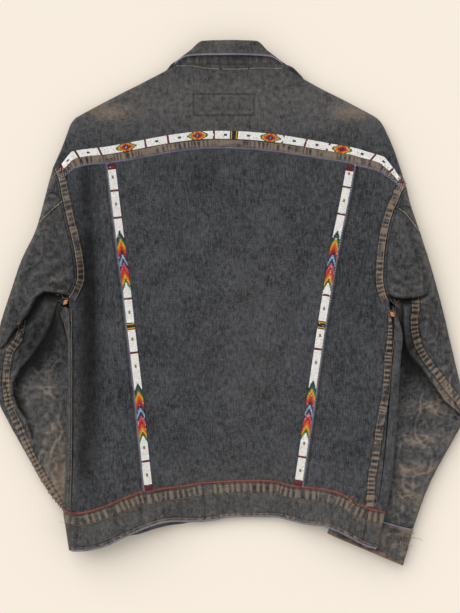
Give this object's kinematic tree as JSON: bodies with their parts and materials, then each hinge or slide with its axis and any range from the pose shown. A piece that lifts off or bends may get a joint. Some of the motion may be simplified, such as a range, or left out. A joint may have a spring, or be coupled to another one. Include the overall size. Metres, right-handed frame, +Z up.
{
  "type": "denim jacket",
  "caption": "Waist-length denim jacket laid flat on its front, back upwards, with woven bead bands on the back seams and the forearms tucked under the body.",
  "frame": {"origin": "centre of the jacket's bounding box in plan, on the surface that it lies on", "axes": "+Z up from the surface towards the upturned back, +Y towards the collar, +X towards the wearer's right sleeve"},
  "size_m": [0.6872, 0.7622, 0.0352],
  "materials": {
    "denim": "matt, charcoal overdyed twill",
    "denim_worn": "matt, rubbed brown at seams and edges",
    "beads": "glossy opaque seed beads",
    "edging": "matt thread",
    "thread": "matt topstitching thread",
    "button_metal": "aged copper"
  },
  "bodies": {
    "root": {"back_center": "denim", "back_side_left": "denim", "back_side_right": "denim", "back_yoke": "denim", "front_left": "denim", "front_right": "denim", "placket_left": "denim", "placket_right": "denim", "sleeve_left_back": "denim", "sleeve_left_front": "denim_worn", "sleeve_right_back": "denim", "sleeve_right_front": "denim_worn", "cuff_left": "denim_worn", "cuff_right": "denim_worn", "waistband_back": "denim_worn", "waistband_front_left": "denim_worn", "waistband_front_right": "denim_worn", "collar": "denim_worn", "bead_band_yoke": "beads", "bead_strip_left": "beads", "bead_strip_right": "beads", "button_front_1": "button_metal", "button_front_2": "button_metal", "button_front_3": "button_metal", "button_front_4": "button_metal", "button_front_5": "button_metal", "button_front_6": "button_metal", "button_waistband": "button_metal", "button_cuff_left": "button_metal", "button_cuff_right": "button_metal"}
  },
  "joints": []
}
